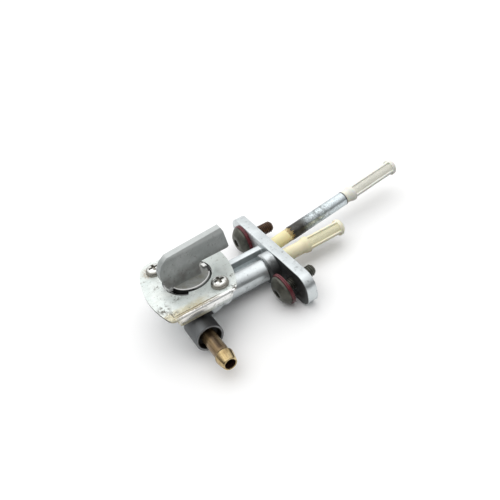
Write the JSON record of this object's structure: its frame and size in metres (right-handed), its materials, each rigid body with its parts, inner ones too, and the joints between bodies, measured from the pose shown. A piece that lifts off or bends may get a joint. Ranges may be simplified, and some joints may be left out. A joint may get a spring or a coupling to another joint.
{
  "type": "fuel tap",
  "caption": "Fuel tap: die-cast valve with an oblong bolt flange, upright strainer tubes, a turning lever over a face plate and a brass hose barb.",
  "frame": {"origin": "centre of the flange's mounting face, midway between the two bolts", "axes": "+X out of the mounting face into the tank, along the bolts; the hose barb points along -Y; +Z is the lever's axis, out through the face plate"},
  "size_m": [0.1526, 0.081, 0.0408],
  "materials": {
    "body_metal": "as-cast, light grey, dusty",
    "plate_zinc": "zinc plated, stained and worn",
    "screw_zinc": "zinc plated, dull",
    "lever_metal": "die-cast, matt grey",
    "barb_brass": "turned, tarnished",
    "bolt_black": "black oxide, rusty thread",
    "washer_red": "dark red fibre",
    "strainer_plastic": "cream plastic, yellowed",
    "sleeve_metal": "thin metal, stained dark",
    "black_rubber": "matt",
    "spring_steel": "bright",
    "pipe_metal": "plain"
  },
  "bodies": {
    "housing": {"valve_body": "body_metal", "face_plate": "plate_zinc", "face_screw_front": "screw_zinc", "face_screw_rear": "screw_zinc", "outlet_barb": "barb_brass", "flange_bolt_upper": "bolt_black", "flange_bolt_lower": "bolt_black", "bolt_washer_upper_inner": "washer_red", "bolt_washer_upper_outer": "washer_red", "bolt_washer_lower_inner": "washer_red", "bolt_washer_lower_outer": "washer_red", "main_strainer": "strainer_plastic", "strainer_sleeve": "sleeve_metal", "reserve_strainer": "strainer_plastic", "valve_packing": "black_rubber", "wave_washer": "spring_steel", "main_standpipe": "pipe_metal", "reserve_standpipe": "pipe_metal", "flange_seal": "black_rubber"},
    "knob": {"lever": "lever_metal", "lever_seal": "black_rubber"}
  },
  "joints": [
    {"name": "lever_turn", "type": "hinge", "parent": "housing", "child": "knob", "pos_m": [-0.0455, 0, 0.0139], "axis": [0, 0, 1], "range_deg": [-45, 45]}
  ]
}
